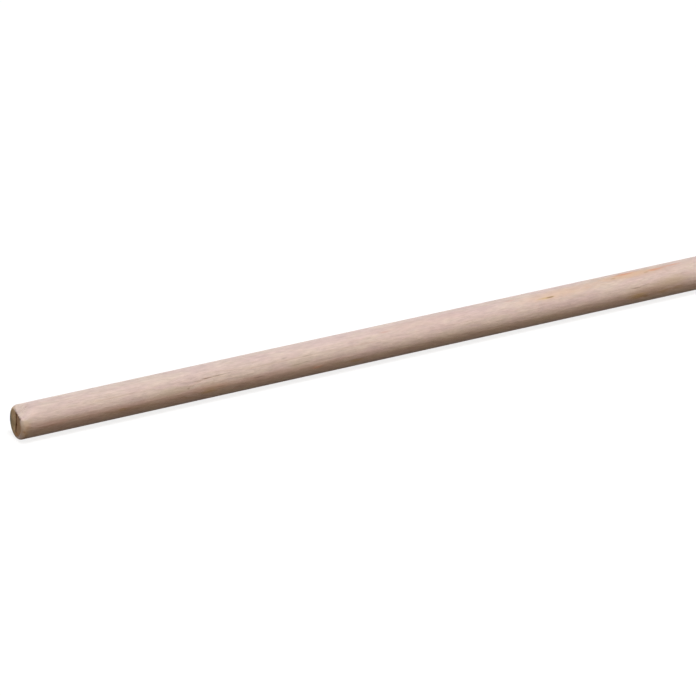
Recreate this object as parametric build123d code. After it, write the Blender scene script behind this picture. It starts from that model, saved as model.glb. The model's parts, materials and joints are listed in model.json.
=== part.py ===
from build123d import *

import os
from math import cos, hypot, radians, sin, tan

# A half-inch dowel rod, a foot long: one straight round stick of birch.
#
# The rod lies along X with its middle at the origin, and +Z is up. It is one piece of wood,
# so it is one solid. Its -X end is a hand-sawn cut that leans a little from square. Both rims
# are eased with sandpaper. At the sawn end the upper front had more of it: the rim is rolled
# over further there, and one longer stroke has left a flat. The +X end is cut square.
# All sizes are in millimetres and all angles in degrees.

ROD_DIAMETER = 12.7
ROD_LENGTH = 304.8  # along the longest fibre
RIM_RADIUS = 1.0  # of the eased rim at both ends
SAW_LEAN = 2.6  # how far the top of the sawn end leans from square, towards +X
SAW_SKEW = 1.1  # how far its back, at +Y, leans the same way
SANDED_RADIUS = 2.5  # of the sawn end's rim where it was sanded most
SANDED_TURN = 60.0  # where that is, from the top of the rim round towards -Y
SANDED_SHIFT = 0.7  # how far the sanding is off the rod's axis, so that it fades out behind
FLAT_TURN = 23.0  # where the sanded flat sits on the rim, from the top round towards -Y
FLAT_REACH = 2.4  # how far in from the rod's side it crosses the sawn end
FLAT_RUN = 4.5  # how far along the rod's side it runs


ROD_RADIUS = ROD_DIAMETER / 2
LEAN_SLOPE = tan(radians(SAW_LEAN))
SKEW_SLOPE = tan(radians(SAW_SKEW))
SAWN_X = -ROD_LENGTH / 2 + ROD_RADIUS * hypot(LEAN_SLOPE, SKEW_SLOPE)  # on the rod's axis


def sawn_x(y, z):
    """Where the sawn cut stands along X, y and z away from the rod's axis."""
    return SAWN_X + SKEW_SLOPE * y + LEAN_SLOPE * z


def saw_cut():
    """The plane of the sawn end. It faces out of the rod."""
    return Plane(origin=(SAWN_X, 0, 0), z_dir=(-1, SKEW_SLOPE, LEAN_SLOPE))


def towards_rim(turn):
    """The way from the rod's axis to its rim, this many degrees round from the top to -Y."""
    return Vector(0, -sin(radians(turn)), cos(radians(turn)))


def sawn_bar(middle, radius):
    """Round stock about a line through this point, left a radius too long and sawn off."""
    square_end = Plane(origin=middle + Vector(ROD_LENGTH / 2, 0, 0), z_dir=(-1, 0, 0))
    stock = extrude(square_end * Circle(radius), ROD_LENGTH + radius)
    return split(stock, bisect_by=saw_cut(), keep=Keep.BOTTOM)


def rolled_over():
    """The thicker bar whose rounded end the sandpaper followed over the sawn rim."""
    middle = towards_rim(SANDED_TURN) * -SANDED_SHIFT
    bar = sawn_bar(middle, ROD_RADIUS + SANDED_SHIFT)
    return fillet(bar.faces().sort_by(Axis.X)[0].edges(), SANDED_RADIUS)


def sanded_flat():
    """The plane of the flat on the sawn end's rim. It faces out of the rod."""
    along_rim = towards_rim(FLAT_TURN - 90)
    inner = towards_rim(FLAT_TURN) * (ROD_RADIUS - FLAT_REACH)
    outer = towards_rim(FLAT_TURN) * ROD_RADIUS
    on_cut = Vector(sawn_x(inner.Y, inner.Z), inner.Y, inner.Z)
    on_side = Vector(sawn_x(outer.Y, outer.Z) + FLAT_RUN, outer.Y, outer.Z)
    return Plane(origin=on_cut, x_dir=along_rim, z_dir=(on_side - on_cut).cross(along_rim))


def dowel_rod():
    """Round stock, sawn to length, with its two rims eased and the flat sanded on."""
    sawn = sawn_bar(Vector(0, 0, 0), ROD_RADIUS)
    ends = sawn.faces().sort_by(Axis.X)
    eased = fillet([*ends[0].edges(), *ends[-1].edges()], RIM_RADIUS)
    rolled = eased & rolled_over()
    return split(rolled, bisect_by=sanded_flat(), keep=Keep.BOTTOM)


os.makedirs("parts", exist_ok=True)
rod = dowel_rod()
rod.label = "dowel_rod"
export_step(rod, "parts/dowel_rod.step")
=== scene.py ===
# %% [markdown]
# # A birch dowel rod
#
# This lesson dresses a half-inch wooden dowel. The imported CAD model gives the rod's true size and the place
# of its two ends. Blender adds what the saw, the sandpaper and the tree left behind: a leaning saw cut with
# its kerf marks, softened rims, growth rings, fibres, a drying check and a few ochre flecks.
#
# All lengths are in metres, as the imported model's are, so sizes in millimetres are multiplied by `MM`.

import json
from math import cos, exp, hypot, pi, radians, sin

import bmesh
import bpy
from mathutils import Matrix, Vector, noise


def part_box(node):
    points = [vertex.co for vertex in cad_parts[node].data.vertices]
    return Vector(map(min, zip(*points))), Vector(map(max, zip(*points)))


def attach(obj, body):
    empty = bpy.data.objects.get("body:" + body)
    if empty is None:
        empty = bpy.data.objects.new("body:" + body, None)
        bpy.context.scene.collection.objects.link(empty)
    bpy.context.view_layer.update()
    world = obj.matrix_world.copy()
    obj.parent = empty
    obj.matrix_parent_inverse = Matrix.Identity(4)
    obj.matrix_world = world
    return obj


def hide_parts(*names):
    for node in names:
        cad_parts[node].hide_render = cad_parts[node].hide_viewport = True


MM = 0.001

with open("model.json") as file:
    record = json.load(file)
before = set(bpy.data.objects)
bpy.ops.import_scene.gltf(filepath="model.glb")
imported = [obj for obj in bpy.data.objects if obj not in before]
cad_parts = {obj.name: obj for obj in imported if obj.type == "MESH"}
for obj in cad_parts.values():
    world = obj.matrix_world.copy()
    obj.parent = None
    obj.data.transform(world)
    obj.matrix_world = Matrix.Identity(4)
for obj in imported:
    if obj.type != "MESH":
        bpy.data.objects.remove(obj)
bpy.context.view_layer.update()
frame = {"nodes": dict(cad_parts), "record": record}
print("packed nodes:", sorted(frame["nodes"]))

# %% [markdown]
# ## Where the rod is
#
# The rod lies along X with its middle at the origin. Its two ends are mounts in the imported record, and a
# mount gives a point and the way the face looks. The same numbers could be typed in again here, but then a
# change to the CAD model would leave the dressed rod behind. The saw cut leans a little, and its point and
# direction say by how much.

# %% Measure the rod
rod_low, rod_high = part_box("dowel_rod")
ROD_RADIUS = rod_high.z
mounts = {mount["name"]: mount for mount in frame["record"]["mounts"]}
saw_point = Vector(mounts["sawn_end"]["pos_m"])
saw_facing = Vector(mounts["sawn_end"]["axis"]).normalized()
square_point = Vector(mounts["square_end"]["pos_m"])
square_facing = Vector(mounts["square_end"]["axis"]).normalized()
ALONG = Vector((1, 0, 0))

print(f"radius {ROD_RADIUS / MM:.2f} mm, from {rod_low.x / MM:.1f} to {rod_high.x / MM:.1f} mm along X")

# %% [markdown]
# ## Turning and sawing the stock
#
# A dowel is cut from a board by a ring of knives, so it starts as a plain round bar. A circle with a filled
# face, drawn out along X, makes that bar. It is made a little too long at one end, as real stock is, and a
# bisecting plane saws it off at the leaning cut. The open end is then filled again. A spun profile would be
# as easy, but it can't make an end that isn't square.

# %% Make the bar and saw it
ROUND_STEPS = 192
SPARE_STOCK = 3 * MM

bar = bmesh.new()
facing_along = Matrix.Rotation(radians(90), 4, "Y")
start = Matrix.Translation((saw_point.x - SPARE_STOCK, 0, 0))
bmesh.ops.create_circle(
    bar, cap_ends=True, segments=ROUND_STEPS, radius=ROD_RADIUS, matrix=start @ facing_along
)
drawn = bmesh.ops.extrude_face_region(bar, geom=bar.faces[:])
moved = [item for item in drawn["geom"] if isinstance(item, bmesh.types.BMVert)]
bmesh.ops.translate(bar, verts=moved, vec=ALONG * (square_point.x - saw_point.x + SPARE_STOCK))

everything = bar.verts[:] + bar.edges[:] + bar.faces[:]
sawn = bmesh.ops.bisect_plane(
    bar, geom=everything, plane_co=saw_point, plane_no=saw_facing, clear_outer=True
)
cut_edges = [item for item in sawn["geom_cut"] if isinstance(item, bmesh.types.BMEdge)]
bmesh.ops.holes_fill(bar, edges=cut_edges)
bmesh.ops.recalc_face_normals(bar, faces=bar.faces[:])


def end_face(mesh, facing):
    """The flat face at the end of the bar that looks this way."""
    return max(mesh.faces, key=lambda face: face.normal.dot(facing))


print("sawn bar:", len(bar.faces), "faces")

# %% [markdown]
# ## Easing the rims
#
# Someone has rubbed sandpaper round both rims, so the corner between the side and the end is a soft curve.
# A bevel with several segments rolls that corner over. A Bevel modifier could do it too, but a modifier
# acts last, and here the next steps build on the rounded rim. Insets fill each end with rings of small
# faces, like the rings of a dartboard.

# %% Bevel the rims and ring the ends
RIM_RADIUS = 1.0 * MM
RIM_SEGMENTS = 8
END_RING = 0.16 * MM

rim_edges = [*end_face(bar, saw_facing).edges, *end_face(bar, square_facing).edges]
bmesh.ops.bevel(
    bar, geom=rim_edges, offset=RIM_RADIUS, offset_type="OFFSET", affect="EDGES",
    segments=RIM_SEGMENTS, profile=0.5, material=-1,
)

for facing in (saw_facing, square_facing):
    face = end_face(bar, facing)
    rings = int((ROD_RADIUS - RIM_RADIUS) / END_RING) - 1
    for _ in range(rings):
        bmesh.ops.inset_region(bar, faces=[face], thickness=END_RING, use_even_offset=True)
    bmesh.ops.poke(bar, faces=[face])
print("rings on each end:", rings)

# %% [markdown]
# ## Faces along the side
#
# The side is still made of strips as long as the rod. Cutting across them gives short faces that can follow
# the slight unevenness of real wood. Equal cuts all the way would be simpler, but they would spend most of
# their faces where nothing happens. So the cuts are close together near the sawn end, where the sanded flat
# is, and further apart on the plain run.

# %% Divide the side
FINE_REACH = 6.0 * MM
FINE_STEP = 0.22 * MM
PLAIN_STEP = 1.3 * MM
ALSO_LONG = 0.7


def divide_strips(mesh, step):
    """Divides the longest lengthwise edges, and those nearly as long, into pieces of about this length."""
    longest = max(edge.calc_length() for edge in mesh.edges)
    strips = [edge for edge in mesh.edges if edge.calc_length() > ALSO_LONG * longest]
    cuts = round(longest / step) - 1
    bmesh.ops.subdivide_edges(mesh, edges=strips, cuts=cuts, use_grid_fill=True)
    return cuts


everything = bar.verts[:] + bar.edges[:] + bar.faces[:]
fine_from = saw_point + ALONG * FINE_REACH
bmesh.ops.bisect_plane(bar, geom=everything, plane_co=fine_from, plane_no=ALONG)
plain_cuts = divide_strips(bar, PLAIN_STEP)
fine_cuts = divide_strips(bar, FINE_STEP)
print("cuts across the plain run:", plain_cuts, "and near the sawn end:", fine_cuts)

# %% [markdown]
# ## The sanded side of the rim
#
# The upper front of the sawn end has had more of the sandpaper. Its rim is rolled over further there than
# behind, and one longer stroke has left a flat that runs out along the side. A Boolean modifier could cut
# both, but it leaves long thin faces along its seams. Sanding only takes wood away, and mesh code can do
# the same: what stands proud of the new surface is dropped onto it.
#
# The wider rim is the rounded end of a bar that is a little thicker than the rod and stands off its centre,
# so the rounding fades away towards the back. Smoothing the vertices at the end then softens the edges
# between the surfaces, as a folded piece of sandpaper would.

# %% Roll the rim over
SANDED_RADIUS = 2.5 * MM
SANDED_TURN = radians(60)
SANDED_SHIFT = 0.7 * MM


def saw_x(place):
    """Where the saw cut stands along X, at this place's y and z."""
    return saw_point.x - (saw_facing.y * place.y + saw_facing.z * place.z) / saw_facing.x


def towards_rim(turn):
    """The way from the rod's axis to its rim, this far round from the top towards the front."""
    return Vector((0, -sin(turn), cos(turn)))


thick_middle = towards_rim(SANDED_TURN) * -SANDED_SHIFT
core_radius = ROD_RADIUS + SANDED_SHIFT - SANDED_RADIUS
rolled = 0
for vertex in bar.verts:
    behind_cut = vertex.co.x - saw_x(vertex.co)
    outwards = Vector((0, vertex.co.y, vertex.co.z)) - thick_middle
    past_core = outwards.length - core_radius
    if behind_cut < SANDED_RADIUS and past_core > 0:
        corner = Vector((behind_cut - SANDED_RADIUS, past_core))
        if corner.length > SANDED_RADIUS:
            onto = corner.normalized() * SANDED_RADIUS
            vertex.co += outwards.normalized() * (onto.y - corner.y) + ALONG * (onto.x - corner.x)
            rolled += 1
print("vertices rolled over:", rolled)

# %% Sand the flat
FLAT_TURN = radians(23)
FLAT_REACH = 2.4 * MM
FLAT_RUN = 4.5 * MM
SOFT_REACH = 5.5 * MM
SOFTENING_ROUNDS = 12
RAW_CUT = 0.999

on_cut = towards_rim(FLAT_TURN) * (ROD_RADIUS - FLAT_REACH)
on_cut.x = saw_x(on_cut)
on_side = towards_rim(FLAT_TURN) * ROD_RADIUS
on_side.x = saw_x(on_side) + FLAT_RUN
along_rim = Vector((0, cos(FLAT_TURN), sin(FLAT_TURN)))
flat_facing = (on_side - on_cut).cross(along_rim).normalized()

proud = [vertex for vertex in bar.verts if (vertex.co - on_cut).dot(flat_facing) > 0]
for vertex in proud:
    vertex.co -= flat_facing * (vertex.co - on_cut).dot(flat_facing)

bar.normal_update()
soft = [
    vertex for vertex in bar.verts
    if vertex.co.x < saw_point.x + SOFT_REACH and vertex.normal.dot(saw_facing) < RAW_CUT
]
for _ in range(SOFTENING_ROUNDS):
    bmesh.ops.smooth_vert(bar, verts=soft, factor=0.5, use_axis_x=True, use_axis_y=True, use_axis_z=True)
print("vertices sanded flat:", len(proud), "and softened:", len(soft))

# %% [markdown]
# ## What the saw, the knives and the weather left
#
# First each vertex gets a number that says how much of the raw saw cut shows there. It is kept with the
# vertex under the name end_grain, and the colours use it later. Sanded rims and flats get a lower number
# than the cut itself. One stroke of the sandpaper also went straight across the top of the cut and dulled
# it, so there the number drops to nothing along a ragged straight line.
#
# The marks themselves could be left to a bump map, but a real hollow also shows in the outline and keeps
# its shadow when the light moves. Every small mark on the wood goes inwards, so one more number is enough
# for each vertex: how deep the surface is worn there. The helpers below give that depth in millimetres.
# Perlin noise that is stretched along the rod makes shallow lengthwise furrows, as the fibres do. On the
# sawn face a wave and some noise, drawn out along the saw's stroke, make kerf marks.

# %% Measure how far the sawn wood shows
SAWN_FROM = 0.975
SAWN_FULL = 0.992
BACK_RIM_SHADE = 0.16
SCUFF_TURN = radians(17)
SCUFF_REACH = 3.55
SCUFF_FADE = 0.45
SCUFF_TEAR = 0.25
TEAR_GRAIN = 0.7 * MM


def smooth_step(low, high, value):
    """Rises from 0 at low to 1 at high with soft ends."""
    share = min(1, max(0, (value - low) / (high - low)))
    return share * share * (3 - 2 * share)


def sawn_share(vertex, facing):
    """1 on the sawn face and 0 where the sandpaper has been, mostly the front. Towards the back the number
    stays high further round the rim, which paints shade there.
    """
    # Towards the back the number stays high further round the rim, so the dark end-grain colour paints shade
    # on the back rim.
    back_rim_shade = BACK_RIM_SHADE * smooth_step(-1, 4, vertex.co.y / MM)
    share = smooth_step(SAWN_FROM - back_rim_shade, SAWN_FULL - back_rim_shade, vertex.normal.dot(facing))
    if facing == saw_facing:
        reach = vertex.co.dot(towards_rim(SCUFF_TURN)) / MM
        torn = SCUFF_TEAR * noise.noise(vertex.co / TEAR_GRAIN)
        share *= 1 - smooth_step(SCUFF_REACH, SCUFF_REACH + SCUFF_FADE, reach + torn)
    return share


bar.normal_update()
end_grain_layer = bar.verts.layers.float.new("end_grain")
for vertex in bar.verts:
    vertex[end_grain_layer] = sawn_share(vertex, saw_facing) + sawn_share(vertex, square_facing)
print("vertices in end grain:", sum(vertex[end_grain_layer] > 0.5 for vertex in bar.verts))

# %% Choose the size of the marks
SIDE_FURROW = 0.006
SIDE_SWELL = 0.014
KERF_TURN = radians(24)
KERF_PITCH = 0.8
KERF_DEPTH = 0.04
KERF_WAVE = 0.45
CHECK_DEPTH = 0.45
CHECK_WIDTH = 0.26
CHECK_TOP = 3.9
CHECK_FOOT = -3.4
CHECK_FRONT = 0.5
CHECK_MIDDLE = 1.0
CHECK_BOW = 1.0
BOW_REACH = 4.5
CHECK_PITS = (1.6, -0.7, -2.6)
PIT_DEPTH = 0.3
PIT_WIDTH = 0.36
RIM_CHIP = 0.22
CHIP_GRAIN = 0.8
CHIP_FREE = 0.18
RIM_FROM = 0.2
RIM_FULL = 0.5
print(f"the check runs from {CHECK_FOOT} mm to {CHECK_TOP} mm up the sawn face")


# %% Work out how deep they are
def stretched_noise(place, along, across):
    """Noise from -1 to 1 whose grains are this long and this wide, in millimetres."""
    return noise.noise(Vector((place.x / along, place.y / across, place.z / across)))


def side_depth(place):
    """Fibre furrows and the long swells that the dowel cutter leaves."""
    furrow = SIDE_FURROW * (1 + stretched_noise(place, 14, 0.6))
    swell = SIDE_SWELL * (1 + stretched_noise(place, 45, 5))
    return furrow + swell


def kerf_depth(place):
    """The scratches of the saw, drawn out along its stroke."""
    along_stroke = place.y * cos(KERF_TURN) + place.z * sin(KERF_TURN)
    across_stroke = place.z * cos(KERF_TURN) - place.y * sin(KERF_TURN)
    drift = 0.35 * noise.noise(Vector((along_stroke / 6, across_stroke / 2, place.x)))
    wave = 0.5 + 0.5 * sin(2 * pi * (across_stroke / KERF_PITCH + drift))
    scratch = 0.5 + 0.5 * noise.noise(Vector((along_stroke / 5, across_stroke / 0.22, 3.7)))
    return KERF_DEPTH * (KERF_WAVE * wave + (1 - KERF_WAVE) * scratch)


def check_line(height):
    """How far towards the front the bowed drying check stands, at this height on the sawn face."""
    return CHECK_FRONT - CHECK_BOW * ((height - CHECK_MIDDLE) / BOW_REACH) ** 2


def check_depth(place):
    """The drying check, with a few pits where it opened furthest."""
    wander = 0.12 * noise.noise(Vector((place.z / 0.9, 1.3, 0)))
    aside = -place.y - check_line(place.z) - wander
    ends = smooth_step(CHECK_FOOT - 0.6, CHECK_FOOT + 0.4, place.z)
    ends *= 1 - smooth_step(CHECK_TOP - 0.8, CHECK_TOP + 0.4, place.z)
    ragged = 0.75 + 0.35 * noise.noise(Vector((place.z / 0.5, 8.1, 0)))
    crack = CHECK_DEPTH * ragged * exp(-((aside / CHECK_WIDTH) ** 2))
    pits = sum(exp(-(hypot(aside, place.z - pit) / PIT_WIDTH) ** 2) for pit in CHECK_PITS)
    return ends * crack + PIT_DEPTH * pits


def chip_depth(place):
    """Little splinters lost from the rim."""
    return RIM_CHIP * max(0, noise.noise(place / CHIP_GRAIN) - CHIP_FREE)


print(f"depth at the check's middle: {check_depth(Vector((0, -check_line(0), 0))):.2f} mm")

# %% Wear the surface
deepest = 0
for vertex in bar.verts:
    place = vertex.co / MM
    end_grain = vertex[end_grain_layer]
    rim = smooth_step(RIM_FROM, RIM_FULL, abs(vertex.normal.x)) * (1 - end_grain)
    depth = side_depth(place) * (1 - end_grain) + kerf_depth(place) * end_grain
    depth += chip_depth(place) * rim
    if place.x < 0:
        depth += check_depth(place) * end_grain
    vertex.co -= vertex.normal * depth * MM
    deepest = max(deepest, depth)
print(f"deepest mark: {deepest:.2f} mm")

# %% [markdown]
# ## From the mesh to a piece of the object
#
# The finished mesh becomes one object at the origin, with its place in its vertices.

# %% Make the rod's object
rod_mesh = bpy.data.meshes.new("birch_rod")
bar.to_mesh(rod_mesh)
bar.free()
rod_mesh.shade_smooth()
rod = bpy.data.objects.new("birch_rod", rod_mesh)
bpy.context.collection.objects.link(rod)
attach(rod, "root")
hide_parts("dowel_rod")
triangles = sum(len(face.vertices) - 2 for face in rod_mesh.polygons)
print("rod:", len(rod_mesh.vertices), "vertices and", triangles, "triangles")

# %% [markdown]
# ## Writing a material as sums
#
# A wood pattern is arithmetic on positions: how far from the heart of the tree, how far along the rod. The
# shader editor does that with one node for each sign, which is slow to wire by hand. The first class below
# wraps one output socket and gives it Python's own signs, so `1 - mask` makes the Math node by itself. The
# second one holds a material and adds any other node to it.

# %% Wrap a socket
class Value:
    """A number that changes over the wood: one output socket that takes Python's signs."""

    def __init__(self, finish, socket):
        self.finish = finish
        self.socket = socket

    def math(self, operation, *terms):
        return self.finish.node("ShaderNodeMath", {"operation": operation}, dict(enumerate(terms)))

    def __add__(self, other):
        return self.math("ADD", self, other)

    def __radd__(self, other):
        return self.math("ADD", other, self)

    def __sub__(self, other):
        return self.math("SUBTRACT", self, other)

    def __rsub__(self, other):
        return self.math("SUBTRACT", other, self)

    def __mul__(self, other):
        return self.math("MULTIPLY", self, other)

    def __rmul__(self, other):
        return self.math("MULTIPLY", other, self)

    def __truediv__(self, other):
        return self.math("DIVIDE", self, other)

    def __pow__(self, other):
        return self.math("POWER", self, other)

    def __abs__(self):
        return self.math("ABSOLUTE", self)

    def floor(self):
        return self.math("FLOOR", self)


print("made the class", Value.__name__)


# %% Wrap a material
class Finish:
    """One material, and the one method that adds any node to it."""

    def __init__(self, name):
        self.material = bpy.data.materials.new(name)
        self.material.use_nodes = True
        self.tree = self.material.node_tree
        self.tree.nodes.clear()

    def node(self, kind, settings=None, inputs=None, output=0):
        """Adds a node, applies its settings, fills its sockets and gives back one of its outputs."""
        made = self.tree.nodes.new(kind)
        for name, setting in (settings or {}).items():
            setattr(made, name, setting)
        for name, value in (inputs or {}).items():
            if isinstance(value, Value):
                self.tree.links.new(value.socket, made.inputs[name])
            else:
                made.inputs[name].default_value = value
        return Value(self, made.outputs[output]) if made.outputs else made


print("made the class", Finish.__name__)

# %% [markdown]
# ## Places and noises in the wood
#
# The pattern is solid: it fills the wood as the tree grew it, so the side, the rims and both ends agree. A
# picture wrapped round the rod would need a seam, and it would stop at the rims. Object coordinates give
# the place. A Mapping node turns them into millimetres from the sawn end: `along` is the way down the rod,
# `across` runs from front to back and `up` is the height. Four short helpers then make the nodes that the
# wood uses again and again.

# %% Find the place in millimetres
birch = Finish("bare_birch")
object_place = birch.node("ShaderNodeTexCoord", output="Object")
place = birch.node(
    "ShaderNodeMapping",
    inputs={"Vector": object_place, "Location": (-saw_point.x / MM, 0, 0), "Scale": (1 / MM,) * 3},
)
along = birch.node("ShaderNodeSeparateXYZ", inputs={"Vector": place}, output="X")
across = birch.node("ShaderNodeSeparateXYZ", inputs={"Vector": place}, output="Y")
up = birch.node("ShaderNodeSeparateXYZ", inputs={"Vector": place}, output="Z")
print(f"the pattern starts at x = {saw_point.x / MM:.1f} mm")


# %% Shorten the nodes used most
def grain(length, width, depth=None, detail=2.0, shift=0.0):
    """Noise about 0.5 whose grains are this long, wide and deep, in millimetres."""
    squeezed = birch.node(
        "ShaderNodeVectorMath",
        {"operation": "MULTIPLY"},
        {0: place, 1: (1 / length, 1 / width, 1 / (depth or width))},
    )
    moved = birch.node("ShaderNodeVectorMath", {"operation": "ADD"}, {0: squeezed, 1: (shift,) * 3})
    return birch.node("ShaderNodeTexNoise", {}, {"Vector": moved, "Scale": 1.0, "Detail": detail})


def fade(value, low, high, start=0.0, end=1.0):
    """Goes from start to end as value goes from low to high, with soft ends."""
    return birch.node(
        "ShaderNodeMapRange",
        {"interpolation_type": "SMOOTHSTEP"},
        {"Value": value, "From Min": low, "From Max": high, "To Min": start, "To Max": end},
    )


def blend(share, first, second, mode="MIX"):
    """Mixes two colours, with the second one's share given."""
    return birch.node(
        "ShaderNodeMix",
        {"data_type": "RGBA", "blend_type": mode},
        {"Factor": share, 6: first, 7: second},
        output=2,
    )


def grey(value):
    """A number as a colour, to darken or lighten another colour with."""
    return birch.node("ShaderNodeCombineColor", inputs={0: value, 1: value, 2: value})


print("nodes in the wood so far:", len(birch.tree.nodes))

# %% [markdown]
# ## Growth rings
#
# Birch rings are faint. Each is pale where the spring wood grew and ends in a thin darker line of summer
# wood. A Wave texture can draw rings, but all alike, so these are counted from the heart instead, and each
# gets a strength of its own. The heart of the tree was far behind the rod, so its rings cross the rod as
# nearly flat sheets, edge on at the sawn face and almost flat with the front. Where a sheet bulges through
# the front, it shows as a long pointed loop.

# %% Draw the rings
HEART_BACK = 70.0
HEART_UP = 2.0
RING_WIDTH = 1.3
BULGE_ALONG = 75.0
BULGE_REACH = 9.0
BULGE_HEIGHT = 1.15
SLOW_DRIFT = 1.1
QUICK_DRIFT = 0.22
FIRST_RING = 0.1
SUMMER_SHARPNESS = 7.0
SUMMER_END = 0.97
FAINTEST_RING = 0.25

from_heart = ((across - HEART_BACK) ** 2 + (up - HEART_UP) ** 2) ** 0.5
slow_drift = (grain(70, 9, shift=5.0) - 0.5) * SLOW_DRIFT
quick_drift = (grain(16, 2.5, shift=9.0) - 0.5) * QUICK_DRIFT
from_bulge = (along - BULGE_ALONG) / BULGE_REACH
bulge = birch.node("ShaderNodeMath", {"operation": "EXPONENT"}, {0: from_bulge * from_bulge * -1.0})
drifted = from_heart + slow_drift + quick_drift + bulge * BULGE_HEIGHT
ring_place = drifted / RING_WIDTH + FIRST_RING
ring_number = ring_place.floor()
ring_share = ring_place - ring_number
ring_strength = birch.node("ShaderNodeTexWhiteNoise", {"noise_dimensions": "1D"}, {"W": ring_number})
line = ring_share ** SUMMER_SHARPNESS * fade(ring_share, SUMMER_END, 1.0, 1.0, 0.0)
summer_wood = line * (FAINTEST_RING + (1 - FAINTEST_RING) * ring_strength)

print("rings across the rod:", round(2 * ROD_RADIUS / MM / RING_WIDTH))

# %% [markdown]
# ## Fibres, vessels and mottling
#
# Between the rings the wood is never one colour. Soft clouds a few millimetres wide drift from a pinker to
# a yellower tan. Fibres make fine lengthwise streaks, and the vessels that carried sap are cut open as tiny
# darker dashes. Drawing each of them would take thousands of strokes. Stretched noises at several sizes
# give all of this at once: the longer the noise is along the rod, the more it looks like grain and the less
# like a stain.

# %% Choose the tones of the clean wood
PINK_TAN = (0.690, 0.545, 0.530, 1)
YELLOW_TAN = (0.662, 0.556, 0.498, 1)
SUMMER_BROWN = (0.48, 0.32, 0.22, 1)
MIDDLE_TONE = 0.96
VESSEL_SHARE = 0.22

clouds = grain(8, 2.4, detail=1.5, shift=2.0)
streaks = grain(22, 0.6, detail=3.0, shift=11.0)
fibres = grain(8, 0.16, detail=2.0, shift=17.0)
slow = grain(60, 4, shift=31.0)
speckle = grain(3.0, 0.8, detail=2.5, shift=37.0)
vessels = fade(grain(2.6, 0.12, detail=0.0, shift=23.0), 0.64, 0.78)

TONE_SWINGS = [
    # pattern, how far it lightens and darkens the wood
    (clouds, 0.22),
    (streaks, 0.12),
    (fibres, 0.14),
    (slow, 0.10),
    (speckle, 0.34),
]
tone = MIDDLE_TONE
for pattern, swing in TONE_SWINGS:
    tone = tone + (pattern - 0.5) * swing
print("patterns in the tone of the wood:", len(TONE_SWINGS))

# %% Colour the clean wood
mottle = fade(clouds * 0.6 + grain(26, 4.0, shift=47.0) * 0.4, 0.30, 0.70)
clean_wood = blend(mottle, PINK_TAN, YELLOW_TAN)
toned_wood = blend(1.0, clean_wood, grey(tone), "MULTIPLY")
ring_patches = fade(grain(22, 4.0, shift=41.0), 0.42, 0.7, 0.10, 0.65)
ringed_wood = blend(summer_wood * ring_patches, toned_wood, SUMMER_BROWN)
side_wood = blend(vessels * VESSEL_SHARE, ringed_wood, SUMMER_BROWN)
print("nodes in the wood so far:", len(birch.tree.nodes))

# %% [markdown]
# ## Flecks and stains
#
# Every stick has marks of its own. This one has ochre and orange flecks, where a grub once tunnelled in the
# growing tree and it healed over, rosy and brown clouds, and short dark strokes where a line of summer wood
# runs out through the surface. Noise alone would scatter such marks anywhere, so each is placed one by one,
# by its distance from the sawn end and its height round the front of the rod. A mask that fades with distance
# makes the spot, and a little noise makes its edge ragged.
# Some of these spots are light, not marks of the wood: the long rosy band low on the front and its brown near
# end, the brown on top by the far end, the tan below the shoulder and the brown on the lower rim by the sawn
# end are painted shade, and the pale shoulder is partly a painted highlight.

# %% Choose the colours of the stains
OCHRE = (0.55, 0.39, 0.22, 1)
OLIVE = (0.56, 0.48, 0.37, 1)
GOLD = (0.60, 0.43, 0.25, 1)
HAZE = (0.67, 0.46, 0.32, 1)
ORANGE = (0.62, 0.31, 0.21, 1)
SALMON = (0.82, 0.45, 0.36, 1)
TAN = (0.66, 0.50, 0.35, 1)
ROSE = (0.60, 0.40, 0.36, 1)
BUFF = (0.56, 0.445, 0.35, 1)
BROWN = (0.44, 0.30, 0.20, 1)
DARK_GRAIN = (0.21, 0.13, 0.08, 1)
PALE = (0.78, 0.62, 0.59, 1)
print(f"dark grain reflects {max(DARK_GRAIN[:3]):.0%} of red light")

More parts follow.
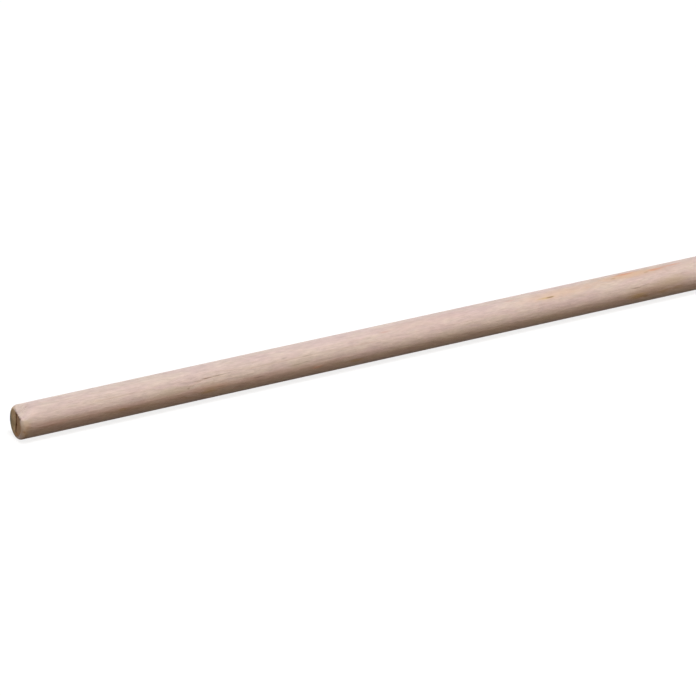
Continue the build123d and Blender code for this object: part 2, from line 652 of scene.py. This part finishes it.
# %% List the flecks and stains
FLECKS = [
    # name, millimetres along, degrees up from the front, half length, half width, colour, strength
    # The pale shoulder is partly paler sanded wood and partly a painted highlight.
    ("sanded shoulder and painted highlight", 3.5, 48, 5.5, 2.6, PALE, 0.55),
    # Painted shade: darkens the side just below the shoulder.
    ("painted shade below the shoulder", 2.2, 23, 3.2, 1.4, OLIVE, 0.40),
    ("tan rim", 0.6, 2, 3.0, 3.6, TAN, 0.70),
    # Painted shade: the rim is made darker towards the bottom, as the side's shading is.
    ("painted shade on the lower rim", 0.4, -22, 2.4, 3.0, TAN, 0.60),
    ("brown by the rim", 1.6, -4, 2.8, 1.2, BROWN, 0.25),
    # Painted shade at the lowest part of the rim.
    ("painted shade at the rim's foot", 0.2, -50, 3.0, 3.4, BROWN, 0.50),
    # Painted shade: a long darker band low on the front, browner near the sawn end.
    ("painted shade low on the front", 62.0, 0, 90.0, 1.7, ROSE, 0.42),
    ("painted shade at the near end", 12.0, 2, 16.0, 1.8, BROWN, 0.20),
    ("rosy underside", 12.0, -3, 8.0, 1.8, ROSE, 0.50),
    ("brown underside", 42.0, -12, 15.0, 1.3, BROWN, 0.38),
    ("ochre on it", 38.5, -7, 2.4, 0.9, OCHRE, 0.40),
    ("olive cloud", 59.0, 13, 12.0, 2.4, OLIVE, 0.45),
    ("small dot", 65.3, 14.3, 0.8, 0.36, DARK_GRAIN, 0.42),
    ("grain line, low end", 69.0, 32, 3.2, 0.18, DARK_GRAIN, 0.52),
    ("grain line, middle", 73.2, 34.7, 3.2, 0.22, DARK_GRAIN, 0.80),
    ("grain line, high end", 77.5, 36, 3.6, 0.19, DARK_GRAIN, 0.66),
    ("grain line, tip", 82.0, 36.8, 3.6, 0.20, DARK_GRAIN, 0.38),
    ("wide ochre", 75.0, 1, 10.0, 2.6, OCHRE, 0.34),
    ("ochre patch", 73.5, -11, 4.4, 1.2, OCHRE, 0.60),
    ("rosy patch", 79.0, 2.5, 3.6, 0.9, ROSE, 0.35),
    ("low stroke", 78.5, -4, 1.8, 0.34, DARK_GRAIN, 0.18),
    ("second low stroke", 93.7, 1, 2.4, 0.40, DARK_GRAIN, 0.42),
    ("loop line", 101.5, 40, 4.2, 0.34, DARK_GRAIN, 0.10),
    ("loop tip", 104.8, 45, 1.6, 0.36, DARK_GRAIN, 0.28),
    ("olive behind dash", 109.5, 14, 5.0, 1.7, OLIVE, 0.32),
    ("front dash, low end", 110.0, 14.4, 2.8, 0.19, DARK_GRAIN, 0.40),
    ("front dash, high end", 113.5, 17, 2.6, 0.19, DARK_GRAIN, 0.58),
    ("upper dash", 113.8, 36.3, 2.8, 0.22, DARK_GRAIN, 0.40),
    ("salmon patch", 117.5, -11, 3.0, 0.9, SALMON, 0.45),
    ("ochre underside", 134.0, -19, 4.2, 0.8, OCHRE, 0.55),
    ("rosy line", 147.5, 59.5, 3.4, 0.42, ROSE, 0.80),
    ("rosy cloud", 164.0, 67, 26.0, 2.8, ROSE, 0.24),
    ("rosy spot", 202.0, 76, 2.8, 0.7, ROSE, 0.55),
    # Painted shade: darkens the top of the rod near the far end.
    ("painted shade on top", 258.0, 72, 38.0, 3.2, BROWN, 0.30),
    ("gold haze", 222.0, 62, 22.0, 2.8, HAZE, 0.45),
    ("gold fleck", 217.0, 54, 5.0, 0.62, GOLD, 0.85),
    ("gold core", 218.7, 54, 2.0, 0.32, DARK_GRAIN, 0.72),
    ("orange haze", 256.0, 77, 17.0, 2.2, HAZE, 0.75),
    ("orange streak", 253.2, 85.5, 6.2, 0.95, ORANGE, 0.85),
    ("orange core", 253.5, 83.5, 2.6, 0.45, ORANGE, 0.60),
    ("brown speck", 247.9, 74, 1.6, 0.5, BROWN, 0.70),
    ("second orange streak", 267.0, 75, 4.8, 0.75, ORANGE, 0.80),
    ("its faint tail", 274.5, 81, 7.0, 0.65, ORANGE, 0.55),
    ("second brown speck", 262.6, 71, 1.6, 0.5, BROWN, 0.60),
    ("short dash", 256.0, 20.3, 2.8, 0.22, DARK_GRAIN, 0.66),
    ("brown cloud", 263.0, 0, 18.0, 3.4, BROWN, 0.45),
    ("low ochre patch", 256.5, -11, 5.4, 1.8, OCHRE, 0.72),
    ("its dark corner", 260.3, -18, 1.9, 1.0, BROWN, 0.75),
    ("far buff cloud", 272.0, 20, 11.0, 2.6, BUFF, 0.80),
    ("far ochre patch", 268.3, -13, 3.6, 1.0, OCHRE, 0.45),
    ("last ochre patch", 275.0, -7.5, 3.2, 0.9, OCHRE, 0.30),
]
print("flecks and stains:", len(FLECKS))

# %% Place the flecks
RAGGEDNESS = 0.9
ragged = (grain(3.0, 0.5, shift=53.0) - 0.5) * RAGGEDNESS


def fleck_mask(distance, lift, half_length, half_width, strength):
    """A long soft spot on the surface that fades out at its half length and half width."""
    height = radians(lift)
    middle = (distance, -ROD_RADIUS / MM * cos(height), ROD_RADIUS / MM * sin(height))
    shifted = birch.node("ShaderNodeVectorMath", {"operation": "SUBTRACT"}, {0: place, 1: middle})
    shares = (1 / half_length, 1 / half_width, 1 / half_width)
    scaled = birch.node("ShaderNodeVectorMath", {"operation": "MULTIPLY"}, {0: shifted, 1: shares})
    away = birch.node("ShaderNodeVectorMath", {"operation": "LENGTH"}, {0: scaled}, output="Value")
    return fade(away + ragged, 0.15, 1.1, strength, 0.0)


marked_wood = side_wood
for name, distance, lift, half_length, half_width, colour, strength in FLECKS:
    mask = fleck_mask(distance, lift, half_length, half_width, strength)
    marked_wood = blend(mask, marked_wood, colour)
print("nodes in the wood so far:", len(birch.tree.nodes))

# %% [markdown]
# ## End grain
#
# A saw cut looks into the open ends of the fibres, which swallow light, so end grain is much darker and
# browner than the side. A second material on the end faces would show it with a hard edge. Here the number
# kept with each vertex fades it in, as the sandpaper did. The back of the face is tan above and olive
# below, the front is a warmer brown, and the drying check is a soft dark band between them, partly darker
# wood and partly painted shade in the crack. `check_line` was written for plain numbers, and it works on a
# Value too, so the band follows the crack in the mesh.
#
# A few soft spots then add what belongs to this one end: pits in the check and a torn dark edge where the
# scuff stops, both darkened partly by painted shade, rusty spots, painted shade on the back rim and a
# painted highlight on the front edge. `mark_reach` fades them out within two millimetres of the cut, so
# they don't run on along the side.

# %% Choose the colours of the end
END_UPPER = (0.68, 0.47, 0.28, 1)
END_LOWER = (0.46, 0.33, 0.185, 1)
END_FRONT = (0.51, 0.32, 0.19, 1)
END_DARK = (0.120, 0.044, 0.015, 1)
END_RUST = (0.44, 0.20, 0.075, 1)
END_BACK_SHADE = (0.24, 0.205, 0.145, 1)
END_PALE = (0.82, 0.67, 0.56, 1)
MIDDLE_END_TONE = 0.94
RING_SHARE = 0.3
BAND_CORE = 0.22
BAND_EDGE = 0.90
BAND_SHARE = 0.76
print(f"the dark band is {2 * BAND_EDGE:.1f} mm wide")

# %% Colour the end grain
end_grain_share = birch.node("ShaderNodeAttribute", {"attribute_name": "end_grain"}, output="Fac")

wander = (grain(9, 5.0, 0.8, detail=1.0, shift=61.0) - 0.5) * 0.5
check_aside = across * -1.0 - check_line(up) - wander
front_half = fade(check_aside, -0.9, 1.0)
band = fade(abs(check_aside), BAND_CORE, BAND_EDGE, 1.0, 0.0)
sawn_end_only = fade(along, 3.0, 6.0, 1.0, 0.0)
band_reach = fade(up, -4.2, -3.2) * fade(up, 3.8, 4.9, 1.0, 0.0) * sawn_end_only
pores = grain(6, 0.13, detail=1.0, shift=71.0)
rays = grain(4, 2.4, 0.14, detail=1.0, shift=83.0)
end_clouds = grain(5, 1.6, shift=97.0)
end_tone = MIDDLE_END_TONE + (pores - 0.5) * 0.5 + (rays - 0.5) * 0.35 + (end_clouds - 0.5) * 0.4

back_wood = blend(fade(up, -2.0, 1.5), END_LOWER, END_UPPER)
end_wood = blend(front_half, back_wood, END_FRONT)
end_ringed = blend(summer_wood * RING_SHARE, end_wood, END_DARK)
end_toned = blend(1.0, end_ringed, grey(end_tone), "MULTIPLY")
# The dark band is partly darker wood along the check and partly painted shade inside the crack.
end_checked = blend(band * band_reach * BAND_SHARE, end_toned, END_DARK)
print("nodes in the wood so far:", len(birch.tree.nodes))

# %% Choose the marks of this end
mark_reach = fade(along, 0.6, 1.7, 1.0, 0.0)
END_MARKS = [
    # name, millimetres towards the front, up, half width, half height, colour, strength
    # Painted shade: the back rim is made grey and dark.
    ("painted shade on the far rim", -5.1, -0.3, 1.9, 5.4, END_BACK_SHADE, 0.85),
    # The pits and both ends of the check are partly darker wood and partly painted shade in the hollows.
    ("open pit", 0.4, -0.7, 0.80, 0.60, END_DARK, 0.95),
    ("low pit", 0.0, -2.6, 0.5, 0.5, END_DARK, 0.45),
    ("foot of the check", 0.2, -3.4, 0.5, 0.7, END_DARK, 0.50),
    ("top of the check", 0.3, 3.5, 0.75, 0.9, END_DARK, 0.85),
    ("pale back corner", -3.6, 4.4, 0.9, 0.8, END_PALE, 0.55),
    ("dark stroke", -2.9, 3.7, 0.38, 0.9, END_DARK, 0.42),
    # The torn edge is partly torn fibres and partly a painted shadow of the tear.
    ("torn edge, upper part", 1.2, 3.45, 0.8, 0.40, END_DARK, 0.75),
    ("torn edge, middle", 2.2, 3.1, 0.8, 0.38, END_DARK, 0.75),
    ("torn edge, lower part", 3.1, 2.8, 0.7, 0.38, END_DARK, 0.75),
    ("torn corner", 3.6, 2.5, 0.42, 0.5, END_DARK, 0.65),
    ("pale scuff", -1.9, 4.9, 1.1, 0.85, END_PALE, 0.75),
    # Painted highlight: the rounded front edge is made pale where it catches the light.
    ("painted highlight on the front edge", 4.4, 1.5, 1.3, 1.5, END_PALE, 0.40),
    ("tan front edge", 4.6, -1.2, 0.9, 2.6, END_FRONT, 0.40),
    ("pale foot", -1.5, -2.8, 1.1, 1.4, END_UPPER, 0.95),
    ("rust by the check", 0.9, -3.9, 1.1, 0.8, END_RUST, 0.65),
    ("rust on the rim", 5.8, -1.6, 0.9, 0.6, END_RUST, 0.50),
]
print("marks on the sawn end:", len(END_MARKS))


# %% Place the marks
def end_mark(front, height, half_width, half_height, strength):
    """A soft spot on the sawn end and its rim."""
    sideways = (across + front) / half_width
    upwards = (up - height) / half_height
    away = (sideways * sideways + upwards * upwards) ** 0.5
    return fade(away + ragged * 0.5, 0.2, 1.2, strength, 0.0) * mark_reach


wood_colour = blend(end_grain_share, marked_wood, end_checked)
for name, front, height, half_width, half_height, colour, strength in END_MARKS:
    mask = end_mark(front, height, half_width, half_height, strength)
    wood_colour = blend(mask, wood_colour, colour)
print("nodes in the wood so far:", len(birch.tree.nodes))

# %% [markdown]
# ## Sheen and relief
#
# Bare sanded wood scatters nearly all its light and has hardly any shine, so the reflection is turned well
# down. At full strength it would mirror the white floor as a bright line along the rod's lower edge. The
# fibres and open vessels also make a relief too fine for the mesh. A Bump node tilts the light by it, and
# the same noises drive both the colour and the relief, so a dark vessel is also a shallow groove.

# %% Finish the wood
RELIEF_HEIGHT = 0.14 * MM
SIDE_ROUGHNESS = 0.62
END_ROUGHNESS = 0.88
REFLECTION = 0.05
BUMP_STRENGTH = 0.9

relief = speckle + streaks * 0.4 + fibres * 0.4 - vessels * 0.3 - summer_wood * 0.2
relief += pores * end_grain_share * 0.8
bump = birch.node(
    "ShaderNodeBump",
    inputs={"Height": relief, "Strength": BUMP_STRENGTH, "Distance": RELIEF_HEIGHT},
)
roughness = SIDE_ROUGHNESS + (streaks - 0.5) * 0.1 + end_grain_share * (END_ROUGHNESS - SIDE_ROUGHNESS)
surface_shader = birch.node(
    "ShaderNodeBsdfPrincipled",
    inputs={
        "Base Color": wood_colour, "Roughness": roughness, "Normal": bump,
        "Specular IOR Level": REFLECTION,
    },
)
birch.node("ShaderNodeOutputMaterial", inputs={"Surface": surface_shader})
rod_mesh.materials.append(birch.material)
print("nodes in the wood:", len(birch.tree.nodes))

# %% [markdown]
# ## Floor and surroundings
#
# The floor is a plain pale sheet that the rod lies on. A sheet that is merely lit turns grey away from the
# lamps, so this one glows a little as well: seen by the camera it is almost white, and it still shows the
# rod's soft shadow. Light that bounces meets a darker floor, so the rod's underside stays in shade, as it
# does on a small table in a large room. Light Path tells the two kinds of ray apart. Far from the rod there
# is no shadow to show, and little lamplight, so there the sheet only glows.

# %% Lay the floor
FLOOR_SIZE = 30.0

floor_sheet = bmesh.new()
bmesh.ops.create_grid(floor_sheet, x_segments=1, y_segments=1, size=FLOOR_SIZE / 2)
bmesh.ops.translate(floor_sheet, verts=floor_sheet.verts[:], vec=(0, 0, rod_low.z))
floor_mesh = bpy.data.meshes.new("floor")
floor_sheet.to_mesh(floor_mesh)
floor_sheet.free()
floor = bpy.data.objects.new("floor", floor_mesh)
bpy.context.collection.objects.link(floor)
print("floor at", round(rod_low.z / MM, 2), "mm")

# %% Give the floor its two looks
FLOOR_SEEN = (1.0, 1.0, 1.0, 1)
FLOOR_GLOW = 1.06
FLOOR_BOUNCE = (0.04, 0.04, 0.04, 1)
SHADOW_SHARE = 0.22
SHADOW_NEAR = 0.25
SHADOW_FAR = 0.70


def seen_directly(finish):
    """1 for rays from the camera, a mirror or glass, and 0 for light that bounces."""
    camera_ray = finish.node("ShaderNodeLightPath", output="Is Camera Ray")
    glossy_ray = finish.node("ShaderNodeLightPath", output="Is Glossy Ray")
    clear_ray = finish.node("ShaderNodeLightPath", output="Is Transmission Ray")
    return camera_ray.math("MAXIMUM", camera_ray, glossy_ray.math("MAXIMUM", glossy_ray, clear_ray))


paper = Finish("pale_floor")
lit_paper = paper.node("ShaderNodeBsdfDiffuse", inputs={"Color": FLOOR_SEEN})
glowing_paper = paper.node("ShaderNodeEmission", inputs={"Color": FLOOR_SEEN, "Strength": FLOOR_GLOW})
floor_place = paper.node("ShaderNodeTexCoord", output="Object")
away = paper.node(
    "ShaderNodeVectorMath", {"operation": "LENGTH"}, {0: floor_place}, output="Value"
)
shadow_share = paper.node(
    "ShaderNodeMapRange", {"interpolation_type": "SMOOTHSTEP"},
    {"Value": away, "From Min": SHADOW_NEAR, "From Max": SHADOW_FAR, "To Min": SHADOW_SHARE, "To Max": 0.0},
)
seen_paper = paper.node(
    "ShaderNodeMixShader", inputs={0: shadow_share, 1: glowing_paper, 2: lit_paper}
)
dark_paper = paper.node("ShaderNodeBsdfDiffuse", inputs={"Color": FLOOR_BOUNCE})
whole_paper = paper.node(
    "ShaderNodeMixShader", inputs={0: seen_directly(paper), 1: dark_paper, 2: seen_paper}
)
paper.node("ShaderNodeOutputMaterial", inputs={"Surface": whole_paper})
floor_mesh.materials.append(paper.material)
print("nodes in the floor's paper:", len(paper.tree.nodes))

# %% Set the world
AMBIENT = (0.004, 0.004, 0.004, 1)

world = bpy.data.worlds.new("studio")
bpy.context.scene.world = world
world.use_nodes = True


class Surroundings(Finish):
    """The same node method, for the world's own tree."""

    def __init__(self, world):
        self.tree = world.node_tree
        self.tree.nodes.clear()


studio = Surroundings(world)
backdrop = studio.node("ShaderNodeBackground", inputs={"Color": FLOOR_SEEN, "Strength": 1.0})
ambient = studio.node("ShaderNodeBackground", inputs={"Color": AMBIENT, "Strength": 1.0})
sky = studio.node("ShaderNodeMixShader", inputs={0: seen_directly(studio), 1: ambient, 2: backdrop})
studio.node("ShaderNodeOutputWorld", inputs={"Surface": sky})
print("nodes in the world:", len(studio.tree.nodes))

# %% [markdown]
# ## Lamps
#
# Light from all round would be soft, but it would make the rod look like a flat strip. So one soft lamp
# hangs almost straight above, a little to the front. It makes the bright top of the rod and leaves the
# lower half in shade, which is what tells the eye that the bar is round. Two weak warm lamps stand low in
# front and open that shade. The second of them is nearer and stands towards the square end, as a window
# would, so the shade grows lighter along the rod. One low behind does the same for the back, and one past
# each end looks straight at the cut. A lamp past an end leaves the side alone, because its light runs along
# it.
#
# A brightness of 1 would light a facing surface so that its colour renders as written. A lamp's light thins
# out with the square of its distance, so its power is worked out from that.

# %% Hang the lamps
def turned_towards(direction, point):
    """The place and turn of something at this point that looks back along this direction."""
    return Matrix.Translation(point) @ direction.to_track_quat("Z", "Y").to_matrix().to_4x4()


def soft_lamp(name, azimuth, elevation, size, brightness, tint, distance=1.6):
    """A square soft lamp that looks at the middle of the rod."""
    turn, rise = radians(azimuth), radians(elevation)
    towards = Vector((sin(turn) * cos(rise), -cos(turn) * cos(rise), sin(rise)))
    lamp = bpy.data.lights.new(name, "AREA")
    lamp.shape = "SQUARE"
    lamp.size = size
    lamp.color = tint
    lamp.energy = brightness * (pi * distance) ** 2
    holder = bpy.data.objects.new(name, lamp)
    holder.matrix_world = turned_towards(towards, towards * distance)
    bpy.context.collection.objects.link(holder)
    print(f"{name}: {lamp.energy:.1f} W")


soft_lamp("top_lamp", 0, 77, 0.5, 0.91, (0.99, 1.0, 1.01))
soft_lamp("front_lamp", -20, 19, 0.8, 0.13, (1.45, 1.0, 0.54))
soft_lamp("window_lamp", 38, 19, 0.4, 0.155, (1.18, 1.0, 0.80), 0.8)
soft_lamp("back_lamp", 180, 6, 0.5, 0.50, (1.06, 1.0, 0.94))
soft_lamp("sawn_end_lamp", -90, 6, 0.7, 0.34, (1.0, 1.0, 1.0))
soft_lamp("square_end_lamp", 90, 6, 0.7, 0.34, (1.0, 1.0, 1.0))

# %% [markdown]
# ## The camera
#
# A wide lens close by would make the near end look huge. A long lens, far away, keeps the rod's sides
# almost parallel. The camera stands to the left of the sawn end, looks a little down and along the rod, and
# aims near its middle, so the far end runs out of the frame.

# %% Place the camera
LENS = 202.7
SENSOR = 36.0
CAMERA_AZIMUTH = radians(-28.556)
CAMERA_ELEVATION = radians(23.845)
CAMERA_DISTANCE = 1446.5 * MM
AIM_ALONG = 133.97 * MM
AIM_UP = 0.64 * MM

aim = Vector((saw_point.x + AIM_ALONG, 0, AIM_UP))
backwards = Vector((
    sin(CAMERA_AZIMUTH) * cos(CAMERA_ELEVATION),
    -cos(CAMERA_AZIMUTH) * cos(CAMERA_ELEVATION),
    sin(CAMERA_ELEVATION),
))
camera_data = bpy.data.cameras.new("camera")
camera_data.lens = LENS
camera_data.sensor_width = SENSOR
camera = bpy.data.objects.new("camera", camera_data)
camera.matrix_world = turned_towards(backwards, aim + backwards * CAMERA_DISTANCE)
bpy.context.collection.objects.link(camera)
bpy.context.scene.camera = camera
bpy.context.scene.view_settings.view_transform = "Standard"
print(f"the camera stands {CAMERA_DISTANCE:.2f} m away, with a {LENS} mm lens")
